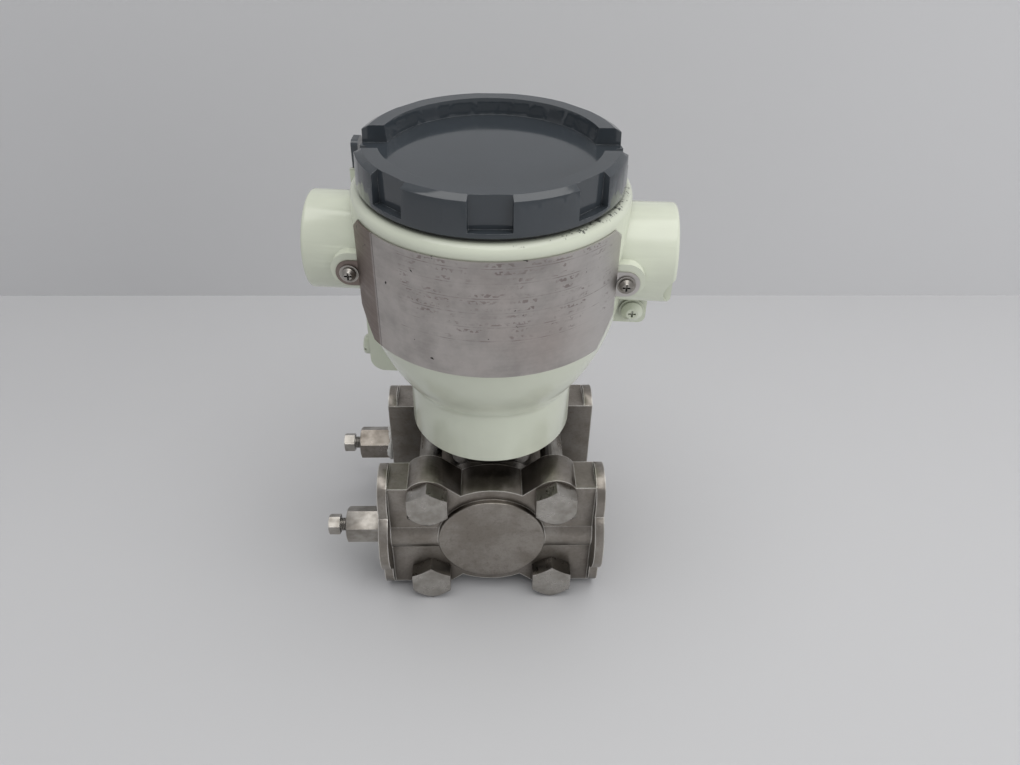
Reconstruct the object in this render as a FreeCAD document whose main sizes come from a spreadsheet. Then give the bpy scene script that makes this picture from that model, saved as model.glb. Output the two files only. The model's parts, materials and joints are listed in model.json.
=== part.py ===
import FreeCAD, Part
import math
import os
import re

import Sketcher
from FreeCAD import Placement, Rotation, Vector

# Differential pressure transmitter, in millimetres. +Z is up, X runs through the two cable
# entries and Y through the two process flanges. The origin is on the vertical axis of the
# measuring cell, at the height of the lowest lobes of the flanges, on which it stands.
# The head is built square to the flanges and then turned about the vertical axis.

SIZES = [
    # process flanges and their bolts
    ("port_spacing", 54.0), ("flange_depth", 16.2), ("flange_width", 88.0), ("flange_height", 59.2),
    ("bolt_spread", 54.0), ("bolt_rise", 47.6), ("lobe_radius", 10.25), ("valley_slope", 40.0),
    ("ring_radius", 28.5), ("disc_radius", 23.4), ("disc_step", 2.6), ("disc_round", 0.8),
    ("rib_radius", 10.2), ("pad_radius", 20.0), ("pad_end_radius", 12.0), ("pad_pitch", 41.3), ("pad_step", 4.0),
    ("pad_hole_radius", 4.95), ("pad_hole_depth", 12.0), ("port_radius", 5.9), ("port_depth", 14.0),
    ("passage_radius", 2.5), ("cross_passage_radius", 2.0), ("passage_offset", 16.0), ("chamber_radius", 20.5),
    ("chamber_depth", 1.2),
    ("seal_inner", 22.0), ("seal_outer", 25.0), ("seal_groove", 2.0),
    ("bolt_radius", 5.0), ("bolt_clearance", 0.3), ("bolt_flats", 17.0), ("bolt_head", 7.0),
    ("nut_height", 8.0), ("bolt_tail", 2.5), ("hex_chamfer", 0.9),
    # measuring cell and neck
    ("cell_radius", 28.0), ("cell_waist", 26.0), ("cell_collar", 4.0), ("diaphragm_radius", 19.5),
    ("diaphragm_seat", 0.9), ("diaphragm_wave", 0.25), ("diaphragm_thickness", 0.3), ("wave_pitch", 4.0),
    ("cell_seat_height", 66.4), ("cell_seat_radius", 23.0), ("neck_collar", 5.0), ("neck_collar_radius", 22.0),
    ("neck_radius", 20.0), ("neck_bore", 13.0), ("neck_top", 97.0), ("neck_floor", 78.0), ("neck_clearance", 0.1),
    ("neck_seal_height", 92.0), ("neck_seal_section", 2.4), ("neck_groove_height", 83.4), ("neck_groove_depth", 1.2),
    ("header_thickness", 4.0), ("header_pin_radius", 0.6), ("header_pin_circle", 6.0), ("header_pin_length", 5.0),
    # vent plugs
    ("vent_flats", 14.0), ("vent_length", 15.0), ("vent_shank", 10.0), ("vent_taper", 0.35), ("vent_bore", 3.1),
    ("vent_bore_depth", 10.0), ("vent_passage", 1.2), ("vent_gap", 3.2), ("vent_cap_flats", 8.0),
    ("vent_cap_length", 5.0), ("vent_fit", 0.08), ("vent_ball_radius", 2.2), ("vent_ball_gap", 0.25),
    ("vent_standoff", 0.8),
    # housing
    ("head_turn", -4.6), ("cover_turn", -1.0), ("housing_base", 77.5), ("housing_neck_radius", 33.7),
    ("housing_radius", 50.9), ("taper_top", 151.5), ("taper_curve", 80.0), ("neck_round", 7.0),
    ("housing_rim", 186.1), ("shoulder_round", 3.5), ("cavity_base", 148.0),
    ("housing_floor", 87.4), ("hub_radius", 25.0), ("lower_cavity", 29.8), ("ledge_height", 118.0),
    ("ledge_cavity", 38.5), ("cavity_radius", 44.8), ("thread_radius", 43.7), ("thread_depth", 11.0),
    ("conduit_height", 159.3), ("conduit_radius", 18.6), ("conduit_reach", 68.3), ("conduit_bore", 10.2),
    ("conduit_round", 1.5), ("scoop_radius", 9.0), ("scoop_depth", 3.6), ("scoop_cut", 7.0),
    ("plate_screw_out", 3.6), ("plate_screw_height", 157.7), ("plate_boss_radius", 6.8),
    ("lug_in", 10.9), ("lug_out", 10.4), ("lug_base", 128.4), ("lug_face", 2.0), ("lug_depth", 12.0),
    ("lug_screw_out", 4.7), ("lug_screw_height", 134.4), ("lug_round", 3.0),
    ("zero_box_outer", 52.5), ("zero_box_base", 93.0), ("zero_box_top", 141.0), ("zero_box_front", 5.0),
    ("zero_box_depth", 20.0), ("zero_box_round", 6.0), ("zero_screw_y", 13.0), ("zero_screw_height", 101.0),
    ("zero_bore", 3.1), ("zero_bore_depth", 15.0), ("zero_fit", 0.08), ("zero_head_radius", 4.3), ("zero_head", 2.8),
    ("zero_seal", 1.0), ("set_screw_radius", 2.5), ("set_screw_length", 9.0), ("set_screw_angle", 40.0),
    ("set_screw_gap", 0.6), ("set_screw_cone", 1.0), ("seal_slack", 0.1),
    # cover, seal and lock
    ("cover_gap", 1.2), ("cover_radius", 48.3), ("cover_height", 14.1), ("cover_draft", 0.4),
    ("cover_edge", 2.5), ("cover_edge_drop", 1.4), ("rim_inner_top", 39.9), ("rim_inner_base", 39.3),
    ("recess_depth", 6.3), ("cover_floor", 4.0), ("cover_wall", 4.0), ("spigot_length", 9.0), ("spigot_clearance", 0.3),
    ("bar_width", 20.5), ("notch_depth", 2.7), ("notch_angle", 17.5), ("notch_drop", 11.9), ("seal_width", 3.2),
    ("lock_gap", 0.5), ("lock_thickness", 2.6), ("lock_width", 8.0), ("lock_height", 10.0), ("lock_foot", 9.0),
    ("lock_y", 9.0), ("lock_screw_radius", 1.5), ("lock_screw_length", 4.0),
    # nameplate and its fasteners
    ("plate_gap", 0.3), ("plate_thickness", 0.6), ("plate_half_angle", 65.0), ("plate_base", 135.6),
    ("plate_height", 45.8), ("plate_top_chamfer", 4.0), ("plate_low_chamfer", 10.0), ("ear_radius", 5.0),
    ("ear_lap", 0.2),
    ("plate_screw_radius", 1.5), ("pan_radius", 2.6), ("pan_height", 1.9), ("washer_radius", 3.5),
    ("washer_thickness", 0.6), ("plate_screw_length", 8.0), ("screw_clearance", 0.15), ("cross_width", 0.75),
    ("cross_length", 2.9), ("cross_depth", 1.1), ("ground_head_radius", 4.2), ("ground_head", 2.8),
    ("ground_screw_radius", 2.0), ("ground_washer_radius", 5.0), ("ground_washer", 0.9), ("ground_length", 8.0),
    # cable-entry plug
    ("plug_clearance", 0.2), ("plug_length", 12.0), ("plug_dome", 1.4), ("plug_head", 10.9), ("plug_wall", 1.8),
    # electronics
    ("spacer_radius", 3.0), ("spacer_height", 7.0), ("spacer_circle", 33.0), ("board_radius", 36.8),
    ("board_thickness", 1.6), ("case_height", 22.0), ("case_wall", 2.0), ("case_radius", 36.5),
    ("case_screw_radius", 1.4), ("case_screw_head", 2.7), ("case_screw_head_height", 1.8),
    ("block_length", 52.0), ("block_width", 24.0), ("block_height", 11.0), ("terminal_pitch", 12.0),
    ("terminal_well", 7.0), ("terminal_slot", 9.5), ("terminal_screw", 2.0), ("terminal_head", 3.2),
    ("terminal_head_height", 2.2), ("lead_radius", 2.6), ("lead_gap", 0.4), ("lead_plug_radius", 5.0),
    ("lead_plug_height", 6.0),
]

# Parts on the circuit board: place, size and height, the first four in board radii.
CHIPS = [(-0.38, 0.16, 0.38, 0.27, 2.2), (0.33, 0.33, 0.24, 0.24, 1.8), (0.22, -0.38, 0.43, 0.19, 6.0),
         (-0.43, -0.38, 0.16, 0.16, 8.0), (0.60, 0.0, 0.14, 0.22, 3.0)]

doc = FreeCAD.newDocument("transmitter")
sheet = doc.addObject("Spreadsheet::Sheet", "Sizes")
for row, (alias, number) in enumerate(SIZES, start=1):
    sheet.set("A%d" % row, alias)
    sheet.set("B%d" % row, "%g" % number)
    sheet.setAlias("B%d" % row, alias)
doc.recompute()

SIZE_NAME = re.compile(r"\b(%s)\b" % "|".join(alias for alias, number in SIZES))

# Heights and places that several pieces share, as formulas of the sizes.
PORT_Y = "(port_spacing / 2)"
PORT_Z = "(lobe_radius + bolt_rise / 2)"
INNER_Y = "((port_spacing - flange_depth) / 2)"
OUTER_Y = "((port_spacing + flange_depth) / 2)"
BLOCK_X = "(flange_width / 2)"
PAD_X = "(flange_width / 2 + pad_step)"
BOLT_X = "(bolt_spread / 2)"
BOLT_DZ = "(bolt_rise / 2)"
COVER_Z = "(housing_rim + cover_gap)"
COVER_TOP = "(housing_rim + cover_gap + cover_height)"
RECESS_Z = "(housing_rim + cover_gap + cover_height - recess_depth)"
SPIGOT_R = "(thread_radius - spigot_clearance)"
PLATE_R = "(housing_radius + plate_gap)"
EAR_Y = "((housing_radius + plate_gap) * cos(plate_half_angle))"
EAR_X = "((housing_radius + plate_gap) * sin(plate_half_angle))"
PLATE_SCREW_X = "((housing_radius + plate_gap) * sin(plate_half_angle) + plate_screw_out)"
LUG_SCREW_X = "(housing_radius + lug_screw_out)"
BOARD_Z = "(ledge_height + spacer_height)"
CASE_Z = "(ledge_height + spacer_height + board_thickness)"
BLOCK_Z = "(ledge_height + spacer_height + board_thickness + case_height)"

nodes = []


def formula(text):
    """The formula with each size name pointing at its cell."""
    return SIZE_NAME.sub(r"Sizes.\1", str(text))


def value(text):
    """The number that a formula gives now."""
    return float(sheet.evalExpression(formula(text)))


def bind(item, **paths):
    """Ties properties of an object to formulas; a double underscore stands for a dot."""
    for path, text in paths.items():
        item.setExpression(path.replace("__", "."), formula(text))
    return item


def keep(item, label, turn=None):
    """Names a finished sub-part, and turns it about the vertical axis with what it belongs to."""
    item.Label = label
    if turn:
        item.Placement = Placement(Vector(), Rotation(Vector(0, 0, 1), value(turn) or 1.0))
        bind(item, Placement__Rotation__Angle=turn)
    nodes.append(item)
    return item


# ---- PartDesign helpers -------------------------------------------------------------------

def new_body(name):
    body = doc.addObject("PartDesign::Body", name)
    body.AllowCompound = True
    return body


def new_sketch(body, plane, offset="0"):
    """A sketch on one of the body's own origin planes, moved along its normal."""
    sketch = body.newObject("Sketcher::SketchObject", body.Name + "_sketch")
    role = [feature for feature in body.Origin.OriginFeatures if feature.Role == plane + "_Plane"][0]
    sketch.AttachmentSupport = [(role, "")]
    sketch.MapMode = "FlatFace"
    if offset != "0":
        bind(sketch, AttachmentOffset__Base__z=offset)
    return sketch


def fix_point(sketch, edge, end, x, y):
    """Holds one end of an edge at formulas for its two coordinates."""
    for kind, text in (("DistanceX", x), ("DistanceY", y)):
        index = sketch.addConstraint(Sketcher.Constraint(kind, -1, 1, edge, end, value(text)))
        sketch.setExpression("Constraints[%d]" % index, formula(text))


def draw_outline(sketch, points):
    """A closed outline. A point is (x, y), or (x, y, radius, turn) where an arc leads to it:
    turn is 1 for anticlockwise and -1 for clockwise."""
    places = [Vector(value(point[0]), value(point[1]), 0) for point in points]
    edges = []
    for number, point in enumerate(points):
        start, end = places[number - 1], places[number]
        if len(point) == 2:
            edges.append((sketch.addGeometry(Part.LineSegment(start, end)), 1, 2))
            continue
        radius, turn = value(point[2]), point[3]
        half = (end - start) * 0.5
        height = math.sqrt(max(radius ** 2 - half.Length ** 2, 0.0))
        centre = start + half + Vector(-half.y, half.x, 0).normalize() * height * turn
        first, last = (start, end) if turn > 0 else (end, start)
        angles = [math.atan2(spot.y - centre.y, spot.x - centre.x) for spot in (first, last)]
        circle = Part.Circle(centre, Vector(0, 0, 1), radius)
        edge = sketch.addGeometry(Part.ArcOfCircle(circle, angles[0], angles[1]))
        edges.append((edge, 1, 2) if turn > 0 else (edge, 2, 1))
        index = sketch.addConstraint(Sketcher.Constraint("Radius", edge, radius))
        sketch.setExpression("Constraints[%d]" % index, formula(point[2]))
    for number, point in enumerate(points):
        edge, start, end = edges[number]
        following = edges[(number + 1) % len(points)]
        sketch.addConstraint(Sketcher.Constraint("Coincident", edge, end, following[0], following[1]))
        fix_point(sketch, edge, end, point[0], point[1])


def draw_circle(sketch, x, y, radius):
    circle = Part.Circle(Vector(value(x), value(y), 0), Vector(0, 0, 1), value(radius))
    edge = sketch.addGeometry(circle)
    fix_point(sketch, edge, 3, x, y)
    index = sketch.addConstraint(Sketcher.Constraint("Radius", edge, value(radius)))
    sketch.setExpression("Constraints[%d]" % index, formula(radius))


def hexagon(flats, x="0", y="0", turn=30):
    """The corners of a hexagon of a given width across its flats."""
    corner = "(%s) / cos(30) / 2" % flats
    return [("%s + %s * cos(%d)" % (x, corner, turn + 60 * n), "%s + %s * sin(%d)" % (y, corner, turn + 60 * n))
            for n in range(6)]


def rectangle(x0, y0, x1, y1):
    return [(x0, y0), (x1, y0), (x1, y1), (x0, y1)]


def add_feature(body, kind, sketch, **settings):
    """Adds a feature, sets it up and makes it the body's tip."""
    feature = body.newObject("PartDesign::" + kind, body.Name + "_" + kind.lower())
    feature.Profile = sketch
    formulas = {}
    for name, setting in settings.items():
        if isinstance(setting, str) and name != "Type":
            formulas[name] = setting
        else:
            setattr(feature, name, setting)
    bind(feature, **formulas)
    sketch.Visibility = False
    body.Tip = feature
    return feature


def extrude(body, kind, plane, shape, length, offset="0", back=False, **settings):
    """A pad or a pocket of one outline or of circles, given as a list of (x, y, radius)."""
    sketch = new_sketch(body, plane, offset)
    if shape and len(shape[0]) == 3:
        for x, y, radius in shape:
            draw_circle(sketch, x, y, radius)
    else:
        draw_outline(sketch, shape)
    return add_feature(body, kind, sketch, Length=length, Reversed=back, **settings)


def turn_profile(body, kind, plane, points, axis="V_Axis", level=None):
    """A revolution or a groove of one outline about an axis of its sketch, or about a line
    across the sketch at a given level."""
    sketch = new_sketch(body, plane)
    draw_outline(sketch, points)
    if level:
        line = Part.LineSegment(Vector(0, value(level), 0), Vector(10, value(level), 0))
        edge = sketch.addGeometry(line, True)
        fix_point(sketch, edge, 1, "0", level)
        fix_point(sketch, edge, 2, "10", level)
        axis = "Axis0"
    return add_feature(body, kind, sketch, ReferenceAxis=(sketch, [axis]), Angle=360.0)


def lathe(name, points, plane="XZ", axis="V_Axis", level=None):
    body = new_body(name)
    turn_profile(body, "Revolution", plane, points, axis, level)
    return body


def round_edges(body, radius, wanted, kind="Fillet"):
    """Rounds or bevels the edges of the body's tip that a test picks."""
    doc.recompute()
    base = body.Tip
    names = ["Edge%d" % number for number, edge in enumerate(base.Shape.Edges, start=1) if wanted(edge)]
    feature = body.newObject("PartDesign::" + kind, body.Name + "_" + kind.lower())
    feature.Base = (base, names)
    bind(feature, **{"Radius" if kind == "Fillet" else "Size": radius})
    body.Tip = feature
    return feature


# ---- Part helpers -------------------------------------------------------------------------

def place(item, x="0", y="0", z="0", rotation=None):
    if rotation:
        item.Placement = Placement(Vector(), rotation)
    return bind(item, Placement__Base__x=x, Placement__Base__y=y, Placement__Base__z=z)


ALONG_X = Rotation(Vector(0, 1, 0), 90)
ALONG_Y = Rotation(Vector(1, 0, 0), -90)
ALONG_MINUS_Y = Rotation(Vector(1, 0, 0), 90)


def cylinder(radius, height, x="0", y="0", z="0", rotation=None):
    item = doc.addObject("Part::Cylinder", "cylinder")
    bind(item, Radius=radius, Height=height)
    return place(item, x, y, z, rotation)


def fuse(*items):
    item = doc.addObject("Part::MultiFuse", "fuse")
    item.Shapes = list(items)
    return item


def cut(base, tool):
    item = doc.addObject("Part::Cut", "cut")
    item.Base, item.Tool = base, tool
    return item


def common(first, second):
    item = doc.addObject("Part::Common", "common")
    item.Base, item.Tool = first, second
    return item


def group(name, form, places):
    """Copies of one form at several places, each (x, y, z, rotation), as separate solids."""
    copies = []
    for x, y, z, rotation in places:
        copy = doc.addObject("App::Link", name + "_copy")
        copy.LinkedObject = form
        copy.Placement = Placement(Vector(), rotation or Rotation())
        copies.append(bind(copy, Placement__Base__x=x, Placement__Base__y=y, Placement__Base__z=z))
    item = doc.addObject("Part::Compound", name)
    item.Links = copies
    return item


# ---- Process flanges ----------------------------------------------------------------------

def process_flange(label, side):
    """One cast flange. side is -1 for the front one (towards -Y) and 1 for the rear one."""
    body = new_body(label)
    # XZ sketches face -Y, so a height along their normal is a distance towards the front.
    outward = side < 0
    inner = "%d * %s" % (-side, INNER_Y)
    slope_x = "%s - lobe_radius * sin(valley_slope)" % BOLT_X
    slope_z = "%s + lobe_radius * cos(valley_slope)" % BOLT_DZ
    valley_run = "(lobe_radius * 0.95)"
    valley_x = "(%s - %s)" % (slope_x, valley_run)
    valley_z = "(%s - %s * tan(valley_slope))" % (slope_z, valley_run)
    block_z = "(flange_height / 2)"
    quarter = [(BLOCK_X, block_z), (BOLT_X, block_z), (slope_x, slope_z), (valley_x, valley_z)]

    def corner(points, sx, sz):
        return [("%d * (%s)" % (sx, x), "%s + %d * (%s)" % (PORT_Z, sz, z)) for x, z in points]

    web = (corner(quarter, 1, 1) + corner(quarter[::-1], -1, 1)
           + corner(quarter, -1, -1) + corner(quarter[::-1], 1, -1))
    lobes = [("%d * %s" % (sx, BOLT_X), "%s + %d * %s" % (PORT_Z, sz, BOLT_DZ), "lobe_radius")
             for sx in (-1, 1) for sz in (-1, 1)]
    extrude(body, "Pad", "XZ", web, "flange_depth", inner, not outward)
    extrude(body, "Pad", "XZ", [("0", PORT_Z, "ring_radius")], "flange_depth", inner, not outward)
    extrude(body, "Pad", "XZ", lobes, "flange_depth", inner, not outward)
    extrude(body, "Pad", "YZ", [("%d * %s" % (side, PORT_Y), PORT_Z, "rib_radius")], "flange_width",
            Midplane=True)
    extrude(body, "Pad", "XZ", [("0", PORT_Z, "disc_radius")], "flange_depth + disc_step", inner, not outward)
    disc_face = "(%s + disc_step)" % OUTER_Y
    round_edges(body, "disc_round", lambda edge: len(edge.Vertexes) == 1
                and abs(abs(edge.CenterOfMass.y) - value(disc_face)) < 0.01)
    # each side ends in an oval pad with a raised round face about the port
    port_y = "%d * %s" % (side, PORT_Y)
    ends = [(port_y, "%s + %d * pad_pitch / 2" % (PORT_Z, sz), "pad_end_radius") for sz in (-1, 1)]
    bridge = rectangle("%s - pad_end_radius" % port_y, "%s - pad_pitch / 2" % PORT_Z,
                       "%s + pad_end_radius" % port_y, "%s + pad_pitch / 2" % PORT_Z)
    for x, back in (("-%s" % PAD_X, False), (PAD_X, True)):
        extrude(body, "Pad", "YZ", ends, "pad_step", x, back)
        extrude(body, "Pad", "YZ", bridge, "pad_step", x, back)
        extrude(body, "Pad", "YZ", [(port_y, PORT_Z, "pad_radius")], "pad_step", x, back)
    # the rib and the pads reach past the inner face, where they are machined off
    extrude(body, "Pocket", "XZ", rectangle("-2 * flange_width", "-flange_height", "2 * flange_width",
            "3 * flange_height"), INNER_Y, "0", outward)
    # pressure chamber, seal groove, bolt holes, ports and the passages between them
    extrude(body, "Pocket", "XZ", [("0", PORT_Z, "chamber_radius")], "chamber_depth", inner, outward)
    extrude(body, "Pocket", "XZ", [("0", PORT_Z, "seal_inner"), ("0", PORT_Z, "seal_outer")], "seal_groove",
            inner, outward)
    extrude(body, "Pocket", "XZ", [(x, z, "bolt_radius + bolt_clearance") for x, z, radius in lobes],
            "2 * flange_depth", inner, outward)
    for x, back in (("-%s" % PAD_X, True), (PAD_X, False)):
        extrude(body, "Pocket", "YZ", [(port_y, PORT_Z, "port_radius")], "port_depth", x, back)
        extrude(body, "Pocket", "YZ", [(port_y, PORT_Z, "passage_radius")],
                "%s - passage_offset + passage_radius" % PAD_X, x, back)
        extrude(body, "Pocket", "YZ", [(y, z, "pad_hole_radius") for y, z, radius in ends], "pad_hole_depth", x, back)
    extrude(body, "Pocket", "XZ", [("%d * passage_offset" % sx, PORT_Z, "cross_passage_radius") for sx in (-1, 1)],
            "flange_depth / 2", inner, outward)
    return keep(body, label)


process_flange("front_flange", -1)
process_flange("rear_flange", 1)


# ---- Flange bolts and nuts ----------------------------------------------------------------

def hex_block(name, flats, length, bevel, plane="XZ", back=False):
    """A hexagonal block standing on its sketch plane, its far corners bevelled all round."""
    body = new_body(name)
    extrude(body, "Pad", plane, hexagon(flats), length, back=back)
    away = -1 if plane == "XZ" else 1
    away = -away if back else away
    corner = "(%s) / cos(30) / 2 + 1" % flats
    edge = "(%s) / 2 - 0.2" % flats
    top = "%d * (%s)" % (away, length)
    low = "%d * (%s - %s)" % (away, length, bevel)
    over = "%d * (%s + 1)" % (away, length)
    if plane == "XZ":
        profile = [(edge, top), (corner, low), (corner, over), (edge, over)]
        turn_profile(body, "Groove", "XY", profile, "V_Axis")
    else:
        profile = [(top, edge), (low, corner), (over, corner), (over, edge)]
        turn_profile(body, "Groove", "XZ", profile, "H_Axis")
    return body


bolt_places = [("%d * %s" % (sx, BOLT_X), "-1 * %s" % OUTER_Y, "%s + %d * %s" % (PORT_Z, sz, BOLT_DZ), None)
               for sx in (-1, 1) for sz in (-1, 1)]
nut_places = [(x, OUTER_Y, z, None) for x, y, z, rotation in bolt_places]
bolt_form = hex_block("bolt_form", "bolt_flats", "bolt_head", "hex_chamfer")
extrude(bolt_form, "Pad", "XZ", [("0", "0", "bolt_radius")], "2 * %s + nut_height + bolt_tail" % OUTER_Y, "0", True)
keep(group("bolt_group", bolt_form, bolt_places), "flange_bolts")
nut_form = hex_block("nut_form", "bolt_flats", "nut_height", "hex_chamfer", back=True)
extrude(nut_form, "Pocket", "XZ", [("0", "0", "bolt_radius + 0.05")], "nut_height", "0", False)
keep(group("nut_group", nut_form, nut_places), "flange_nuts")


# ---- Measuring cell, its diaphragms and seals ---------------------------------------------

cell = new_body("cell")
extrude(cell, "Pad", "XZ", [("0", PORT_Z, "cell_waist")], "2 * %s" % INNER_Y, Midplane=True)
for offset, back in ((INNER_Y, True), ("-1 * %s" % INNER_Y, False)):
    extrude(cell, "Pad", "XZ", [("0", PORT_Z, "cell_radius")], "cell_collar", offset, back)
extrude(cell, "Pad", "XY", [("0", "0", "cell_seat_radius - 5")], "cell_seat_height - %s" % PORT_Z, PORT_Z)
for offset, back in ((INNER_Y, False), ("-1 * %s" % INNER_Y, True)):
    extrude(cell, "Pocket", "XZ", [("0", PORT_Z, "diaphragm_radius + 0.1")], "diaphragm_seat", offset, back)
keep(cell, "cell_body")


def diaphragm(label, side):
    """A thin corrugated disc with a welded rim, in the recess of the cell's end face."""
    floor = "%d * (%s - diaphragm_seat)" % (side, INNER_Y)
    waves = [("%d * wave_pitch / 2" % step, "diaphragm_wave" if step % 2 else "0") for step in range(1, 9)]

    def spot(radius, lift):
        return ("%s + %d * (%s)" % (floor, side, lift), "%s + %s" % (PORT_Z, radius))

    film = [spot("0", "diaphragm_wave")] + [spot(radius, "diaphragm_wave + " + wave) for radius, wave in waves]
    film.append(spot("diaphragm_radius - 1.2", "diaphragm_wave"))
    rim = [spot("diaphragm_radius - 1.2", "0"), spot("diaphragm_radius", "0"),
           spot("diaphragm_radius", "diaphragm_wave + diaphragm_thickness")]
    top = [spot(radius, "diaphragm_wave + diaphragm_thickness + " + wave) for radius, wave in reversed(waves)]
    top.append(spot("0", "diaphragm_wave + diaphragm_thickness"))
    return keep(lathe(label, film + rim + top, "YZ", level=PORT_Z), label)


for name, side in (("front", -1), ("rear", 1)):
    diaphragm(name + "_diaphragm", side)
    start = "%d * %s%s" % (side, INNER_Y, "" if side > 0 else " - seal_groove")
    keep(cut(cylinder("seal_outer", "seal_groove", "0", start, PORT_Z, ALONG_Y),
             cylinder("seal_inner", "seal_groove", "0", start, PORT_Z, ALONG_Y)), name + "_flange_seal")


# ---- Neck that carries the head -----------------------------------------------------------

groove_z = "neck_groove_height"
seal_low = "(neck_seal_height - neck_seal_section / 2 - 0.1)"
seal_high = "(neck_seal_height + neck_seal_section / 2 + 0.1)"
seal_root = "(neck_radius - neck_seal_section)"
neck_r = "(neck_radius - neck_clearance)"
root_r = "(%s - neck_groove_depth)" % neck_r
collar_top = "(cell_seat_height + neck_collar)"
neck = lathe("neck", [
    ("0", "cell_seat_height"), ("neck_collar_radius - 0.8", "cell_seat_height"),
    ("neck_collar_radius", "cell_seat_height + 0.8"), ("neck_collar_radius", collar_top),
    (neck_r, collar_top), (neck_r, groove_z + " - 2 * neck_groove_depth"), (root_r, groove_z + " - neck_groove_depth"),
    (root_r, groove_z + " + neck_groove_depth"), (neck_r, groove_z + " + 2 * neck_groove_depth"),
    (neck_r, seal_low), (seal_root, seal_low), (seal_root, seal_high), (neck_r, seal_high), (neck_r, "neck_top - 0.8"),
    (neck_r + " - 0.8", "neck_top"), ("neck_bore", "neck_top"), ("neck_bore", "neck_top - header_thickness"),
    ("neck_bore - 1", "neck_top - header_thickness"), ("neck_bore - 1", "neck_floor"), ("0", "neck_floor")])
keep(neck, "sensor_neck")
seal_out = "(%s - 0.15)" % neck_r
keep(lathe("neck_ring", [
    (seal_root + " + 0.05", "neck_seal_height - neck_seal_section / 2 + 0.5"),
    (seal_root + " + 0.55", "neck_seal_height - neck_seal_section / 2"),
    (seal_out + " - 0.5", "neck_seal_height - neck_seal_section / 2"),
    (seal_out, "neck_seal_height - neck_seal_section / 2 + 0.5"),
    (seal_out, "neck_seal_height + neck_seal_section / 2 - 0.5"),
    (seal_out + " - 0.5", "neck_seal_height + neck_seal_section / 2"),
    (seal_root + " + 0.55", "neck_seal_height + neck_seal_section / 2"),
    (seal_root + " + 0.05", "neck_seal_height + neck_seal_section / 2 - 0.5")]), "neck_seal")
header = new_body("header")
extrude(header, "Pad", "XY", [("0", "0", "neck_bore - 0.05")], "header_thickness", "neck_top - header_thickness")
pins = [("header_pin_circle * cos(%d)" % angle, "header_pin_circle * sin(%d)" % angle, "header_pin_radius")
        for angle in range(0, 360, 60)]
extrude(header, "Pad", "XY", pins, "header_thickness + 2 * header_pin_length",
        "neck_top - header_thickness - header_pin_length")
keep(header, "sensor_header")


# ---- Vent plugs on the left ports ---------------------------------------------------------

def vent(name, side):
    """A hexagonal plug in the port, with a ball on its seat and a screw that holds the ball."""
    port_y = "%d * %s" % (side, PORT_Y)
    seat_face = "(-1 * %s - vent_standoff)" % PAD_X
    body = hex_block(name + "_vent_body", "vent_flats", "vent_length", "hex_chamfer", "YZ", True)
    extrude(body, "Pocket", "YZ", [("0", "0", "vent_bore")], "vent_bore_depth", "-vent_length", True)
    turn_profile(body, "Revolution", "XZ", [
        ("0", "0"), ("vent_shank", "0"), ("vent_shank", "port_radius - 0.1 - vent_taper"), ("0", "port_radius - 0.1")],
        "H_Axis")
    turn_profile(body, "Groove", "XZ", [
        ("-vent_length", "0"), ("vent_shank + 1", "0"), ("vent_shank + 1", "vent_passage"),
        ("vent_bore_depth - vent_length + vent_bore - vent_passage", "vent_passage"),
        ("vent_bore_depth - vent_length", "vent_bore"), ("-vent_length", "vent_bore")], "H_Axis")
    bind(body, Placement__Base__x=seat_face, Placement__Base__y=port_y, Placement__Base__z=PORT_Z)
    keep(body, name + "_vent_body")
    # the ball stands a little off the cone of its seat and off the nose of the screw
    seat_x = "(vent_bore_depth - vent_length + vent_bore - vent_ball_radius * tan(22.5) - vent_ball_gap * 1.5)"
    ball_x = "(%s - vent_ball_radius)" % seat_x
    ball = doc.addObject("Part::Sphere", name + "_ball")
    bind(ball, Radius="vent_ball_radius")
    keep(place(ball, "%s + %s" % (seat_face, ball_x), port_y, PORT_Z), name + "_vent_ball")
    nose = "(%s - vent_ball_radius - vent_ball_gap)" % ball_x
    stem = new_body(name + "_stem")
    far = "(-vent_length - vent_gap)"
    extrude(stem, "Pad", "YZ", hexagon("vent_cap_flats"), "vent_cap_length", far, True)
    turn_profile(stem, "Groove", "XZ", [
        (far + " - vent_cap_length", "vent_cap_flats / 2 - 0.2"),
        (far + " - vent_cap_length + 0.5", "vent_cap_flats / cos(30) / 2 + 0.3"),
        (far + " - vent_cap_length - 1", "vent_cap_flats / cos(30) / 2 + 0.3"),
        (far + " - vent_cap_length - 1", "vent_cap_flats / 2 - 0.2")], "H_Axis")
    turn_profile(stem, "Revolution", "XZ", [
        (far, "0"), (nose, "0"), (nose, "vent_bore - vent_fit - 0.5"), (nose + " - 0.5", "vent_bore - vent_fit"),
        ("-vent_length - 0.6", "vent_bore - vent_fit"), ("-vent_length - 1", "vent_bore - vent_fit - 0.4"),
        (far, "vent_bore - vent_fit - 0.4")], "H_Axis")
    bind(stem, Placement__Base__x=seat_face, Placement__Base__y=port_y, Placement__Base__z=PORT_Z)
    keep(stem, name + "_vent_stem")


vent("front", -1)
vent("rear", 1)


# ---- Housing ------------------------------------------------------------------------------

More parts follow.
